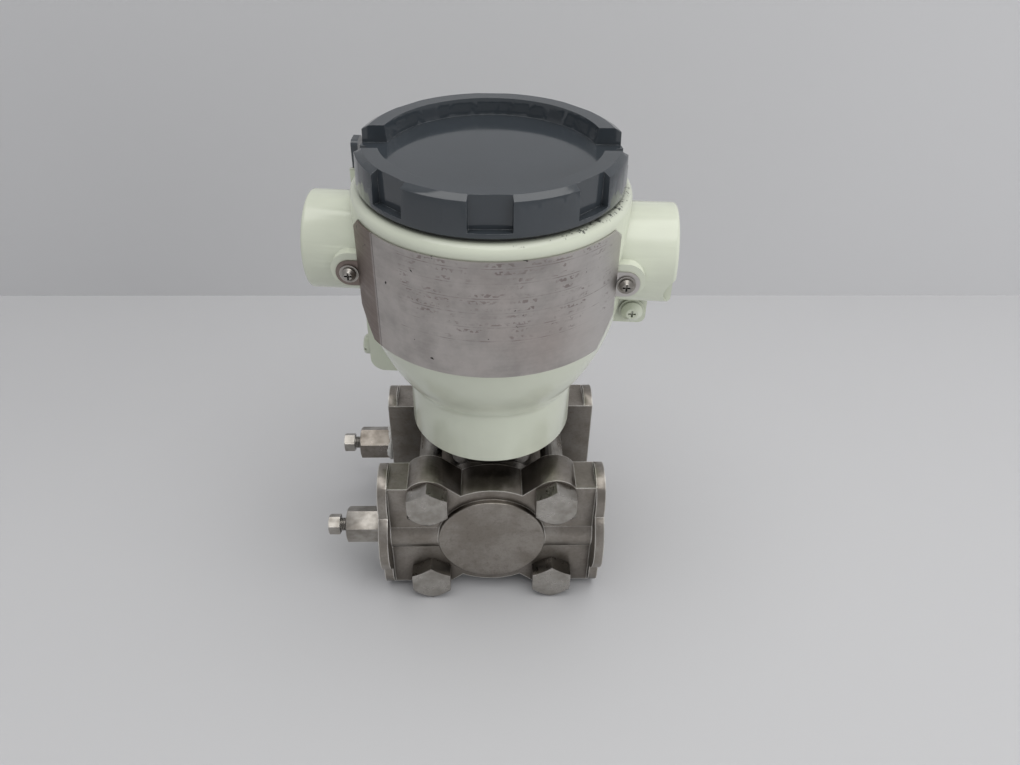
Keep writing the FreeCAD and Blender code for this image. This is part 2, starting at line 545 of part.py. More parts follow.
# The neck runs into the taper by a hollow arc that touches both: its centre lies at round_x, round_z.
round_x = "(housing_neck_radius + neck_round - housing_radius + taper_curve)"
round_z = "(taper_top - sqrt((taper_curve + neck_round) ^ 2 - %s ^ 2))" % round_x
share = "(taper_curve / (taper_curve + neck_round))"
touch_x = "(housing_radius - taper_curve + %s * %s)" % (share, round_x)
touch_z = "(taper_top - %s * (taper_top - %s))" % (share, round_z)
housing = lathe("housing_body", [
    ("0", "housing_base"), ("housing_neck_radius - 1", "housing_base"),
    ("housing_neck_radius", "housing_base + 1"), ("housing_neck_radius", round_z),
    (touch_x, touch_z, "neck_round", -1), ("housing_radius", "taper_top", "taper_curve", 1),
    ("housing_radius", "housing_rim - shoulder_round"),
    ("housing_radius - shoulder_round", "housing_rim", "shoulder_round", 1), ("0", "housing_rim")])

# cable entries, one each side
for side in (-1, 1):
    extrude(housing, "Pad", "YZ", [("0", "conduit_height", "conduit_radius")], "conduit_reach", "0", side < 0)
round_edges(housing, "conduit_round", lambda edge: len(edge.Vertexes) == 1
            and abs(abs(edge.CenterOfMass.x) - value("conduit_reach")) < 0.01)

# bosses that carry the nameplate's screws, running back into the cable entries
boss_front = "(%s)" % EAR_Y
boss_low, boss_high = "(plate_screw_height - plate_boss_radius + 1)", "(plate_screw_height + plate_boss_radius + 1)"
for side in (-1, 1):
    inner, outer = "%d * housing_radius * 0.7" % side, "%d * %s" % (side, PLATE_SCREW_X)
    tip = ("%s + %d * plate_boss_radius" % (outer, side), "plate_screw_height + 1", "plate_boss_radius", side)
    boss = [(inner, boss_low), (outer, boss_low), tip, (outer, boss_high, "plate_boss_radius", side),
            (inner, boss_high)]
    extrude(housing, "Pad", "XZ", boss, boss_front, boss_front, True)

# earth lug below the right-hand cable entry
lug_top = "conduit_height - conduit_radius * 0.7"
lug_inner, lug_outer = "housing_radius - lug_in", "housing_radius + lug_out"
lug = [(lug_inner, "lug_base"), (lug_outer + " - lug_round", "lug_base"),
       (lug_outer, "lug_base + lug_round", "lug_round", 1), (lug_outer, lug_top), (lug_inner, lug_top)]
extrude(housing, "Pad", "XZ", lug, "lug_depth", "lug_face", True)

# box of the zero adjuster, low on the left
zero = [("-1 * (zero_box_outer - zero_box_round)", "zero_box_base"),
        ("-1 * housing_neck_radius * 0.6", "zero_box_base"),
        ("-1 * housing_neck_radius * 0.6", "conduit_height"), ("-1 * (zero_box_outer - 4)", "conduit_height"),
        ("-1 * (zero_box_outer - 4)", "zero_box_top"), ("-1 * zero_box_outer", "zero_box_top - 6"),
        ("-1 * zero_box_outer", "zero_box_base + zero_box_round")]
zero[0] = zero[0] + ("zero_box_round", 1)
extrude(housing, "Pad", "XZ", zero, "zero_box_depth", "-1 * zero_box_front", True)

# seat of the cover lock on the left of the shoulder
lock_x = "(cover_radius + lock_gap)"
extrude(housing, "Pad", "XY", rectangle("-1 * (%s + lock_thickness + 1)" % lock_x, "lock_y - lock_width / 2 - 1",
        "-1 * (housing_radius - 6)", "lock_y + lock_width / 2 + 1"), "lock_foot + 4",
        "housing_rim - lock_foot - 4")

# cavity: threaded mouth, round chamber, ledge for the electronics, well round the hub
turn_profile(housing, "Groove", "XZ", [
    ("0", "housing_base - 1"), ("neck_radius", "housing_base - 1"), ("neck_radius", "neck_top"),
    ("hub_radius", "neck_top"), ("hub_radius", "housing_floor"),
    ("lower_cavity", "housing_floor"), ("lower_cavity", "ledge_height"), ("ledge_cavity", "ledge_height"),
    ("cavity_radius", "cavity_base"), ("cavity_radius", "housing_rim - thread_depth - 2"),
    ("thread_radius", "housing_rim - thread_depth"), ("thread_radius", "housing_rim - 0.8"),
    ("thread_radius + 0.8", "housing_rim"), ("thread_radius + 0.8", "housing_rim + 1"), ("0", "housing_rim + 1")])
for side in (-1, 1):
    extrude(housing, "Pocket", "YZ", [("0", "conduit_height", "conduit_bore")], "conduit_reach - 20",
            "%d * conduit_reach" % side, side < 0)

# a machined scoop on the front lower edge of the right-hand entry's end
scoop = [("conduit_reach + scoop_radius - scoop_depth", "conduit_height - conduit_radius * 0.45", "scoop_radius")]
extrude(housing, "Pocket", "XZ", scoop, "scoop_cut + 1", "conduit_radius + 1")

# holes for the nameplate's screws, the earth screw, the zero adjuster, the set screws and the lock
extrude(housing, "Pocket", "XZ", [("%d * %s" % (side, PLATE_SCREW_X), "plate_screw_height",
        "plate_screw_radius + screw_clearance") for side in (-1, 1)], "plate_screw_length", boss_front, False)
extrude(housing, "Pocket", "XZ", [(LUG_SCREW_X, "lug_screw_height", "ground_screw_radius + screw_clearance")],
        "ground_length + 1", "lug_face", False)
extrude(housing, "Pocket", "YZ", [("zero_screw_y", "zero_screw_height", "zero_bore")], "zero_bore_depth",
        "-1 * zero_box_outer", True)
for turn in (-1, 1):
    sketch = new_sketch(housing, "XZ")
    draw_circle(sketch, "0", "neck_groove_height", "set_screw_radius + 0.1")
    sketch.AttachmentOffset = Placement(Vector(), Rotation(Vector(0, 1, 0), 180 + turn * value("set_screw_angle")))
    bind(sketch, AttachmentOffset__Rotation__Angle="180 + %d * set_screw_angle" % turn)
    add_feature(housing, "Pocket", sketch, Length="2 * housing_neck_radius", Reversed=True)
extrude(housing, "Pocket", "YZ", [("lock_y", "housing_rim - lock_foot / 2", "lock_screw_radius + 0.1")],
        "lock_screw_length + 0.3", "-1 * %s" % lock_x, True)
extrude(housing, "Pocket", "XY", rectangle("-1 * (max(housing_radius; %s + lock_thickness) + 1.1)" % lock_x,
        "lock_y - lock_width / 2 - 0.1", "-1 * %s" % lock_x, "lock_y + lock_width / 2 + 0.1"),
        "lock_foot", "housing_rim", False)
keep(housing, "housing", turn="head_turn")


# ---- Cover, its seal and its lock ---------------------------------------------------------

skirt_r = "(cover_radius - cover_draft)"
cover = lathe("cover_body", [
    (SPIGOT_R + " - cover_wall", "%s - spigot_length" % COVER_Z), (SPIGOT_R + " - 0.8", "%s - spigot_length" % COVER_Z),
    (SPIGOT_R, "%s - spigot_length + 0.8" % COVER_Z), (SPIGOT_R, COVER_Z), ("cover_radius - 0.6", COVER_Z),
    ("cover_radius", COVER_Z + " + 0.6"), (skirt_r, COVER_TOP + " - cover_edge_drop"),
    (skirt_r + " - 1.1", COVER_TOP + " - cover_edge_drop + 0.5"), (skirt_r + " - cover_edge", COVER_TOP),
    ("rim_inner_top", COVER_TOP), ("rim_inner_base", RECESS_Z), ("0", RECESS_Z),
    ("0", RECESS_Z + " - cover_floor"), (SPIGOT_R + " - cover_wall - 3", RECESS_Z + " - cover_floor"),
    (SPIGOT_R + " - cover_wall", RECESS_Z + " - cover_floor - 3")])
# two opposite gaps in the rim take a flat bar
for side in (-1, 1):
    extrude(cover, "Pocket", "XY", rectangle("%d * rim_inner_base * 0.8" % side, "-bar_width / 2",
            "%d * 2 * cover_radius" % side, "bar_width / 2"), "2 * recess_depth", RECESS_Z, True)
# eight notches round the skirt, open at the top
notch_in = "(cover_radius - notch_depth)"
notch = [("%s * cos(notch_angle / 2)" % notch_in, "-1 * %s * sin(notch_angle / 2)" % notch_in),
         ("(cover_radius + 3) * cos(notch_angle / 2)", "-1 * (cover_radius + 3) * sin(notch_angle / 2)"),
         ("(cover_radius + 3) * cos(notch_angle / 2)", "(cover_radius + 3) * sin(notch_angle / 2)"),
         ("%s * cos(notch_angle / 2)" % notch_in, "%s * sin(notch_angle / 2)" % notch_in, notch_in, -1)]
first = extrude(cover, "Pocket", "XY", notch, "2 * cover_height", COVER_TOP + " - notch_drop", True)
ring = cover.newObject("PartDesign::PolarPattern", "notches")
ring.Originals = [first]
ring.Axis = ([f for f in cover.Origin.OriginFeatures if f.Role == "Z_Axis"][0], [""])
ring.Angle = 360
ring.Occurrences = 8
cover.Tip = ring
keep(cover, "top_cover", turn="cover_turn")

seal_in, seal_far, seal_top = "(thread_radius + 0.3)", "(thread_radius + seal_width)", COVER_Z + " - seal_slack"
keep(lathe("cover_ring", [
    (seal_in, "housing_rim"), (seal_far + " - 0.4", "housing_rim"), (seal_far, "housing_rim + 0.4"),
    (seal_far, seal_top + " - 0.4"), (seal_far + " - 0.4", seal_top), (seal_in, seal_top)]),
    "cover_seal", turn="head_turn")

lock = new_body("lock")
lock_out = "-1 * (%s + lock_thickness)" % lock_x
extrude(lock, "Pad", "YZ", rectangle("lock_y - lock_width / 2", "housing_rim - lock_foot", "lock_y + lock_width / 2",
        "housing_rim + lock_height"), "lock_thickness", lock_out)
round_edges(lock, "lock_width / 4", lambda edge: abs(edge.Length - value("lock_thickness")) < 0.01
            and edge.CenterOfMass.z > value("housing_rim"))
extrude(lock, "Pocket", "YZ", [("lock_y", "housing_rim - lock_foot / 2", "lock_screw_radius + 0.1")],
        "2 * lock_thickness", lock_out, True)
keep(lock, "cover_lock_clamp", turn="head_turn")
screw = new_body("lock_screw")
extrude(screw, "Pad", "YZ", [("lock_y", "housing_rim - lock_foot / 2", "lock_screw_radius + 1.2")],
        "1.6", lock_out, True)
extrude(screw, "Pad", "YZ", [("lock_y", "housing_rim - lock_foot / 2", "lock_screw_radius")],
        "lock_thickness + lock_screw_length", lock_out, False)
extrude(screw, "Pocket", "YZ", hexagon("1.5", "lock_y", "(housing_rim - lock_foot / 2)"), "1.2",
        lock_out + " - 1.6", True)
keep(screw, "cover_lock_screw", turn="head_turn")


# ---- Nameplate and its fasteners ----------------------------------------------------------

plate_top, plate_low = "(plate_base + plate_height)", "plate_base"
face_outline = [
    ("-1 * %s" % EAR_X, "%s + plate_low_chamfer" % plate_low),
    ("-1 * %s + plate_low_chamfer * 0.55" % EAR_X, plate_low),
    (EAR_X + " - plate_low_chamfer * 0.55", plate_low), (EAR_X, "%s + plate_low_chamfer" % plate_low),
    (EAR_X, plate_top + " - plate_top_chamfer"), (EAR_X + " - plate_top_chamfer * 0.6", plate_top),
    ("-1 * %s + plate_top_chamfer * 0.6" % EAR_X, plate_top),
    ("-1 * %s" % EAR_X, plate_top + " - plate_top_chamfer")]
sheet_form = new_body("plate_outline")
extrude(sheet_form, "Pad", "XZ", face_outline, "2 * housing_radius", EAR_Y)
shell = cut(cylinder(PLATE_R + " + plate_thickness", "plate_height + 10", z="plate_base - 5"),
            cylinder(PLATE_R, "plate_height + 12", z="plate_base - 6"))
ears = []
for side in (-1, 1):
    ear = new_body("plate_ear")
    x = "%d * %s" % (side, PLATE_SCREW_X)
    low, high = "plate_screw_height - ear_radius", "plate_screw_height + ear_radius"
    root = "%d * (%s - ear_lap)" % (side, EAR_X)
    tip = ("%s + %d * ear_radius" % (x, side), "plate_screw_height", "ear_radius", side)
    extrude(ear, "Pad", "XZ", [(root, low), (x, low), tip, (x, high, "ear_radius", side), (root, high)],
            "plate_thickness", EAR_Y)
    ears.append(ear)
plate = fuse(common(shell, sheet_form), *ears)
holes = [cylinder("plate_screw_radius + screw_clearance", "4 * plate_thickness", "%d * %s" % (side, PLATE_SCREW_X),
                  "-1 * %s + plate_thickness" % EAR_Y, "plate_screw_height", ALONG_MINUS_Y) for side in (-1, 1)]
keep(cut(plate, fuse(*holes)), "nameplate", turn="head_turn")


def pan_screw(name, head_radius, head_height, shank_radius, length):
    """A domed screw head with a crossed recess; it points towards +Y, its seat at y = 0."""
    body = lathe(name, [
        ("0", "%s" % length), ("0", "-1 * %s" % head_height),
        ("%s * 0.55" % head_radius, "-1 * %s" % head_height), ("%s" % head_radius, "-0.35 * %s" % head_height),
        ("%s" % head_radius, "0"), (shank_radius, "0"), (shank_radius, "%s - 0.5" % length),
        ("%s - 0.5" % shank_radius, "%s" % length)], "XY")
    for x, z in (("cross_length", "cross_width"), ("cross_width", "cross_length")):
        extrude(body, "Pocket", "XZ", rectangle("-%s / 2" % x, "-%s / 2" % z, "%s / 2" % x, "%s / 2" % z),
                "cross_depth", "%s" % head_height)
    return body


washer_face = "(%s + plate_thickness)" % EAR_Y
washer_form = cut(cylinder("washer_radius", "washer_thickness", rotation=ALONG_MINUS_Y),
                  cylinder("plate_screw_radius + screw_clearance", "washer_thickness", rotation=ALONG_MINUS_Y))
plate_spots = [("%d * %s" % (side, PLATE_SCREW_X), "-1 * %s" % washer_face, "plate_screw_height", None)
               for side in (-1, 1)]
keep(group("washer_group", washer_form, plate_spots), "nameplate_washers", turn="head_turn")
pan_form = pan_screw("pan_form", "pan_radius", "pan_height", "plate_screw_radius", "plate_screw_length")
screw_spots = [(x, "-1 * (%s + washer_thickness)" % washer_face, z, None) for x, y, z, rotation in plate_spots]
keep(group("plate_screw_group", pan_form, screw_spots), "nameplate_screws", turn="head_turn")

ground = pan_screw("ground_form", "ground_head_radius", "ground_head", "ground_screw_radius", "ground_length")
keep(group("ground_group", ground, [(LUG_SCREW_X, "-1 * (lug_face + ground_washer)", "lug_screw_height", None)]),
     "ground_screw", turn="head_turn")
clamp = cut(cylinder("ground_washer_radius", "ground_washer", LUG_SCREW_X, "-1 * lug_face", "lug_screw_height",
                     ALONG_MINUS_Y),
            cylinder("ground_screw_radius + screw_clearance", "ground_washer", LUG_SCREW_X, "-1 * lug_face",
                     "lug_screw_height", ALONG_MINUS_Y))
keep(clamp, "ground_washer", turn="head_turn")


# ---- Plug in the left-hand cable entry ----------------------------------------------------

plug_r = "(conduit_bore - plug_clearance)"
end_x = "(-1 * conduit_reach)"
plug = lathe("plug", [
    (end_x + " - plug_dome", "0"), (end_x + " - plug_dome * 0.8", "plug_head * 0.45"),
    (end_x + " - plug_dome * 0.3", "plug_head * 0.85"), (end_x, "plug_head"), (end_x, plug_r),
    (end_x + " + plug_length - 1", plug_r), (end_x + " + plug_length", plug_r + " - 1"),
    (end_x + " + plug_length", plug_r + " - plug_wall"), (end_x + " + 2", plug_r + " - plug_wall"),
    (end_x + " + 2", "0")], "XZ", "H_Axis")
plug_holder = group("plug_group", plug, [("0", "0", "conduit_height", None)])
keep(plug_holder, "conduit_plug", turn="head_turn")


# ---- Zero adjuster and set screws ---------------------------------------------------------

zero_x = "(-1 * zero_box_outer)"
zero_seat = "(%s - zero_seal)" % zero_x
adjuster = lathe("adjuster", [
    (zero_seat + " - zero_head", "0"), (zero_seat + " - zero_head", "zero_head_radius - 0.7"),
    (zero_seat + " - zero_head + 0.7", "zero_head_radius"), (zero_seat, "zero_head_radius"),
    (zero_seat, "zero_bore - zero_fit"), (zero_x + " + zero_bore_depth - 1.5", "zero_bore - zero_fit"),
    (zero_x + " + zero_bore_depth - 0.5", "zero_bore - zero_fit - 1"), (zero_x + " + zero_bore_depth - 0.5", "0")],
    "XZ", "H_Axis")
extrude(adjuster, "Pocket", "YZ", rectangle("-zero_head_radius", "-0.5", "zero_head_radius", "0.5"),
        "1.4", zero_seat + " - zero_head", True)
keep(group("zero_group", adjuster, [("0", "zero_screw_y", "zero_screw_height", None)]), "zero_screw", turn="head_turn")
ring_x, ring_width = zero_seat + " + seal_slack", "zero_seal - seal_slack"
keep(cut(cylinder("zero_head_radius + 0.4", ring_width, ring_x, "zero_screw_y", "zero_screw_height", ALONG_X),
         cylinder("zero_bore + 0.3", ring_width, ring_x, "zero_screw_y", "zero_screw_height", ALONG_X)),
     "zero_screw_seal", turn="head_turn")

set_form = new_body("set_form")
tip_r = "(neck_radius - neck_clearance - neck_groove_depth + set_screw_gap)"
extrude(set_form, "Pad", "YZ", [("0", "neck_groove_height", "set_screw_radius")], "set_screw_length", tip_r)
extrude(set_form, "Pocket", "YZ", hexagon("2.5", "0", "neck_groove_height"), "2.5",
        "%s + set_screw_length" % tip_r, False)
set_side, set_nose = "neck_groove_height + set_screw_radius", "neck_groove_height + set_screw_radius - set_screw_cone"
turn_profile(set_form, "Groove", "XZ", [
    (tip_r, set_nose), (tip_r + " + set_screw_cone", set_side), (tip_r + " + set_screw_cone", set_side + " + 1"),
    (tip_r + " - 1", set_side + " + 1"), (tip_r + " - 1", set_nose)], level="neck_groove_height")
group("set_screw_group", set_form, [("0", "0", "0", Rotation(Vector(0, 0, 1), 90 + turn * value("set_screw_angle")))
                                    for turn in (-1, 1)])
set_screws = doc.getObject("set_screw_group")
for copy, turn in zip(set_screws.Links, (-1, 1)):
    bind(copy, Placement__Rotation__Angle="90 + %d * set_screw_angle" % turn)
keep(set_screws, "housing_set_screws", turn="head_turn")


# ---- Electronics in the housing -----------------------------------------------------------

columns = [("spacer_circle * cos(%d)" % angle, "spacer_circle * sin(%d)" % angle) for angle in (30, 150, 270)]
spacer = new_body("spacer")
extrude(spacer, "Pad", "XY", hexagon("2 * spacer_radius"), "spacer_height")
extrude(spacer, "Pocket", "XY", [("0", "0", "case_screw_radius + 0.1")], "2 * spacer_height", "-1", True)
keep(group("spacer_group", spacer, [(x, y, "ledge_height", None) for x, y in columns]), "board_spacers",
     turn="head_turn")

board = new_body("board")
extrude(board, "Pad", "XY", [("0", "0", "board_radius")], "board_thickness", BOARD_Z)
for x, y, length, width, height in CHIPS:
    corners = (x - length / 2, y - width / 2, x + length / 2, y + width / 2)
    extrude(board, "Pad", "XY", rectangle(*("%g * board_radius" % corner for corner in corners)), "%g" % height, CASE_Z)
extrude(board, "Pocket", "XY", [(x, y, "case_screw_radius + 0.2") for x, y in columns], "2 * board_thickness",
        "ledge_height + spacer_height - 0.5", True)
keep(board, "circuit_board", turn="head_turn")

case = lathe("case", [
    ("case_radius - case_wall", CASE_Z), ("case_radius", CASE_Z), ("case_radius", BLOCK_Z + " - 2"),
    ("case_radius - 2", BLOCK_Z), ("0", BLOCK_Z), ("0", BLOCK_Z + " - case_wall"),
    ("case_radius - case_wall", BLOCK_Z + " - case_wall")])
extrude(case, "Pad", "XY", [(x, y, "case_screw_radius + 2") for x, y in columns], "case_height", CASE_Z)
extrude(case, "Pocket", "XY", [(x, y, "case_screw_radius + 0.2") for x, y in columns], "2 * case_height",
        CASE_Z + " - 1", True)
keep(case, "electronics_case", turn="head_turn")

case_screw = new_body("case_screw")
extrude(case_screw, "Pad", "XY", [("0", "0", "case_screw_head")], "case_screw_head_height", BLOCK_Z)
extrude(case_screw, "Pad", "XY", [("0", "0", "case_screw_radius")], "case_height + board_thickness + spacer_height - 1",
        BLOCK_Z, True)
extrude(case_screw, "Pocket", "XY", rectangle("-case_screw_head", "-0.4", "case_screw_head", "0.4"), "1",
        BLOCK_Z + " + case_screw_head_height", False)
keep(group("case_screw_group", case_screw, [(x, y, "0", None) for x, y in columns]), "case_screws", turn="head_turn")

block = new_body("block")
half_l, half_w = "block_length / 2", "block_width / 2"
extrude(block, "Pad", "XY", rectangle("-%s" % half_l, "-%s" % half_w, half_l, half_w), "block_height", BLOCK_Z)
terminals = ["(%g * terminal_pitch)" % step for step in (-1.5, -0.5, 0.5, 1.5)]
for x in terminals:
    well = rectangle("%s - terminal_slot / 2" % x, "-%s - 1" % half_w, "%s + terminal_slot / 2" % x,
                     "%s - 4" % half_w)
    extrude(block, "Pocket", "XY", well, "terminal_well", BLOCK_Z + " + block_height", False)
extrude(block, "Pocket", "XY", [(x, "0", "terminal_screw + 0.1") for x in terminals], "block_height",
        BLOCK_Z + " + block_height - terminal_well + 2.5", False)
keep(block, "terminal_block", turn="head_turn")

terminal = new_body("terminal")
seat_z = "(%s + block_height - terminal_well)" % BLOCK_Z
extrude(terminal, "Pad", "XY", rectangle("-terminal_slot / 2 + 0.5", "-%s + 2" % half_w, "terminal_slot / 2 - 0.5",
        "%s - 5" % half_w), "0.8", seat_z)
extrude(terminal, "Pad", "XY", [("0", "0", "terminal_head")], "terminal_head_height", seat_z + " + 0.8")
extrude(terminal, "Pad", "XY", [("0", "0", "terminal_screw")], "2.5", seat_z, True)
for x, y in (("cross_length * 1.4", "cross_width"), ("cross_width", "cross_length * 1.4")):
    extrude(terminal, "Pocket", "XY", rectangle("-%s / 2" % x, "-%s / 2" % y, "%s / 2" % x, "%s / 2" % y),
            "cross_depth", seat_z + " + 0.8 + terminal_head_height", False)
keep(group("terminal_group", terminal, [(x, "0", "0", None) for x in terminals]), "terminal_screws", turn="head_turn")

lead_base = "(neck_top + header_pin_length + lead_gap)"
keep(lathe("lead", [
    ("0", lead_base), ("header_pin_circle + 1.5", lead_base), ("header_pin_circle + 1.5", lead_base + " + 3"),
    ("lead_radius", lead_base + " + 5"), ("lead_radius", BOARD_Z + " - lead_plug_height"),
    ("lead_plug_radius", BOARD_Z + " - lead_plug_height"), ("lead_plug_radius", BOARD_Z), ("0", BOARD_Z)]),
    "sensor_lead", turn="head_turn")


# ---- Checks and export --------------------------------------------------------------------

doc.recompute()
failed = [item.Name for item in doc.Objects if "Invalid" in item.State or "Error" in item.State]
if failed:
    raise RuntimeError("failed objects: %s" % failed)
for item in nodes:
    if item.Shape.isNull() or not item.Shape.isValid() or not item.Shape.Solids:
        raise RuntimeError("bad shape: %s" % item.Label)
os.makedirs("parts", exist_ok=True)
for item in nodes:
    item.Shape.exportStep("parts/%s.step" % item.Label)
    print("%-22s %d solid(s) %10.1f mm3" % (item.Label, len(item.Shape.Solids), item.Shape.Volume))
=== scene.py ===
"""Looks of a differential pressure transmitter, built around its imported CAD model.

Metres, +Z up. The nameplate faces -Y, the plugged cable entry points to -X.
"""
import json
import math
import random

import bpy
from mathutils import Matrix, Vector


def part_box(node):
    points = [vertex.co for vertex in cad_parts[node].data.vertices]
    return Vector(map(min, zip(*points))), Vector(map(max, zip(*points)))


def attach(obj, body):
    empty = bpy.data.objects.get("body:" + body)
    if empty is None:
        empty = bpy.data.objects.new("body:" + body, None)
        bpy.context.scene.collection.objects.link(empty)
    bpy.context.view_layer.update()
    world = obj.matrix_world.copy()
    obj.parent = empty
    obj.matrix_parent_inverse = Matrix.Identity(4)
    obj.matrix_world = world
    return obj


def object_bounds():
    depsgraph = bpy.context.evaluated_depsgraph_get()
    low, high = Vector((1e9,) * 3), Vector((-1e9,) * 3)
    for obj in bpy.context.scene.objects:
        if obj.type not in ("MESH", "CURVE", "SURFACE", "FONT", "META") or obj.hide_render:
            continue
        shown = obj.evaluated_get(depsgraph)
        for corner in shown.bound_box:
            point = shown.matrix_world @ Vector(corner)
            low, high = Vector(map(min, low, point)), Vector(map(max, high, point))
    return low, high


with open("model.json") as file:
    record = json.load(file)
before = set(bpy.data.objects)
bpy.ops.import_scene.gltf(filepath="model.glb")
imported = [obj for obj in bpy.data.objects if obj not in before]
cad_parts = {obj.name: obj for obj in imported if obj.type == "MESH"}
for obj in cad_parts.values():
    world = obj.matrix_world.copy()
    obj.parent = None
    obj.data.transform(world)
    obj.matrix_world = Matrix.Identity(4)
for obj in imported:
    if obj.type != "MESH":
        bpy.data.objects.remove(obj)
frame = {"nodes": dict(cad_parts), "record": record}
cad_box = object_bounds()
nodes = frame["nodes"]
mounts = {mount["name"]: mount for mount in frame["record"]["mounts"]}
random.seed(7)
MM = 0.001

# ---- Camera and lamps ------------------------------------------------------------------------

IMAGE_WIDTH = 1020
FOCAL_PIXELS = 826.0
SENSOR_WIDTH = 36.0
CAMERA_PLACE = Vector((-2.6, -279.1, 312.5)) * MM
CAMERA_PITCH, CAMERA_YAW, CAMERA_ROLL = (math.radians(angle) for angle in (-38.2, 2.2, 1.15))
CAMERA_NEAREST = 10 * MM


def add_camera():
    """A camera in front of the nameplate and above it, that looks down on the cover."""
    forward = Vector((math.sin(CAMERA_YAW) * math.cos(CAMERA_PITCH),
                      math.cos(CAMERA_YAW) * math.cos(CAMERA_PITCH), math.sin(CAMERA_PITCH)))
    right = Vector((math.cos(CAMERA_YAW), -math.sin(CAMERA_YAW), 0))
    up = right.cross(forward)
    right, up = (right * math.cos(CAMERA_ROLL) + up * math.sin(CAMERA_ROLL),
                 up * math.cos(CAMERA_ROLL) - right * math.sin(CAMERA_ROLL))
    camera = bpy.data.objects.new("camera", bpy.data.cameras.new("camera"))
    camera.data.sensor_width = SENSOR_WIDTH
    camera.data.lens = FOCAL_PIXELS / IMAGE_WIDTH * SENSOR_WIDTH
    camera.data.clip_start = CAMERA_NEAREST
    turn = Matrix((right, up, -forward)).transposed().to_4x4()
    camera.matrix_world = Matrix.Translation(CAMERA_PLACE) @ turn
    bpy.context.scene.collection.objects.link(camera)
    bpy.context.scene.camera = camera


def add_light(name, place, target, size, power, color=(1, 1, 1), shine=True):
    """A soft square lamp that points from its place to a target."""
    lamp = bpy.data.objects.new(name, bpy.data.lights.new(name, "AREA"))
    lamp.data.shape, lamp.data.size = "SQUARE", size
    lamp.data.energy, lamp.data.color = power, color
    lamp.visible_glossy = shine
    lamp.location = place
    lamp.rotation_euler = (Vector(target) - Vector(place)).to_track_quat("-Z", "Y").to_euler()
    bpy.context.scene.collection.objects.link(lamp)


# ---- Node materials --------------------------------------------------------------------------

class Paint:
    """A node material. Each method adds nodes and gives back the socket with their result."""

    def __init__(self, name, **surface):
        self.material = bpy.data.materials.new(name)
        self.material.use_nodes = True
        self.tree = self.material.node_tree
        self.shader = self.tree.nodes["Principled BSDF"]
        for socket, setting in surface.items():
            self.shader.inputs[socket.replace("_", " ")].default_value = setting
        self.place = self.add("ShaderNodeTexCoord").outputs["Object"]
        self.bend = None

    def add(self, kind, inputs=(), **settings):
        node = self.tree.nodes.new(kind)
        for key, setting in settings.items():
            setattr(node, key, setting)
        for key, setting in dict(inputs).items():
            self.put(node.inputs[key], setting)
        return node

    def put(self, socket, setting):
        if isinstance(setting, bpy.types.NodeSocket):
            self.tree.links.new(setting, socket)
        else:
            socket.default_value = setting

    def stretched(self, x, y, z):
        """Places stretched along each axis, for grain that runs one way."""
        return self.add("ShaderNodeMapping", {"Vector": self.place, "Scale": (x, y, z)}).outputs[0]

    def noise(self, scale, detail=3.0, roughness=0.6, place=None):
        inputs = {"Vector": place or self.place, "Scale": scale, "Detail": detail,
                  "Roughness": roughness}
        return self.add("ShaderNodeTexNoise", inputs).outputs["Fac"]

    def math(self, operation, first, second=0.0):
        return self.add("ShaderNodeMath", {0: first, 1: second}, operation=operation).outputs[0]

    def product(self, *values):
        result = values[0]
        for value in values[1:]:
            result = self.math("MULTIPLY", result, value)
        return result

    def between(self, value, low, high, start=0.0, end=1.0):
        """A smooth step of value from low to high."""
        inputs = {"Value": value, "From Min": low, "From Max": high, "To Min": start, "To Max": end}
        node = self.add("ShaderNodeMapRange", inputs, interpolation_type="SMOOTHSTEP")
        return node.outputs["Result"]

    def mix(self, share, first, second):
        node = self.add("ShaderNodeMix", data_type="RGBA")
        self.put(node.inputs[0], share)
        for socket, color in zip((node.inputs[6], node.inputs[7]), (first, second)):
            self.put(socket, color if isinstance(color, bpy.types.NodeSocket) else (*color, 1))
        return node.outputs[2]

    def layer(self, color, tone, mask, low, high, most=1.0):
        """Lays a tone over a colour where the mask rises from low to high."""
        return self.mix(self.between(mask, low, high, 0, most), color, tone)

    def axis(self, name):
        return self.add("ShaderNodeSeparateXYZ", {0: self.place}).outputs[name]

    def edges(self, radius, low=0.02, high=0.25):
        """1 along edges, within about the radius, and 0 on flat faces."""
        soft = self.add("ShaderNodeBevel", {"Radius": radius}, samples=6).outputs[0]
        sharp = self.add("ShaderNodeNewGeometry").outputs["Normal"]
        dot = self.add("ShaderNodeVectorMath", {0: soft, 1: sharp}, operation="DOT_PRODUCT")
        return self.between(self.math("SUBTRACT", 1.0, dot.outputs["Value"]), low, high)

    def corners(self, distance):
        """1 in hollows and corners, and 0 in the open: the mask for painted shade."""
        shade = self.add("ShaderNodeAmbientOcclusion", {"Distance": distance}, samples=6,
                         only_local=False)
        return self.math("SUBTRACT", 1.0, shade.outputs["AO"])

    def bump(self, height, distance, strength=1.0):
        inputs = {"Height": height, "Distance": distance, "Strength": strength}
        if self.bend:
            inputs["Normal"] = self.bend
        self.bend = self.add("ShaderNodeBump", inputs).outputs[0]

    def finish(self, color, roughness=None):
        sockets = {"Base Color": color, "Roughness": roughness, "Normal": self.bend}
        for name, socket in sockets.items():
            if socket is not None:
                self.tree.links.new(socket, self.shader.inputs[name])
        return self.material


def darker(tone, share):
    return [part * share for part in tone]


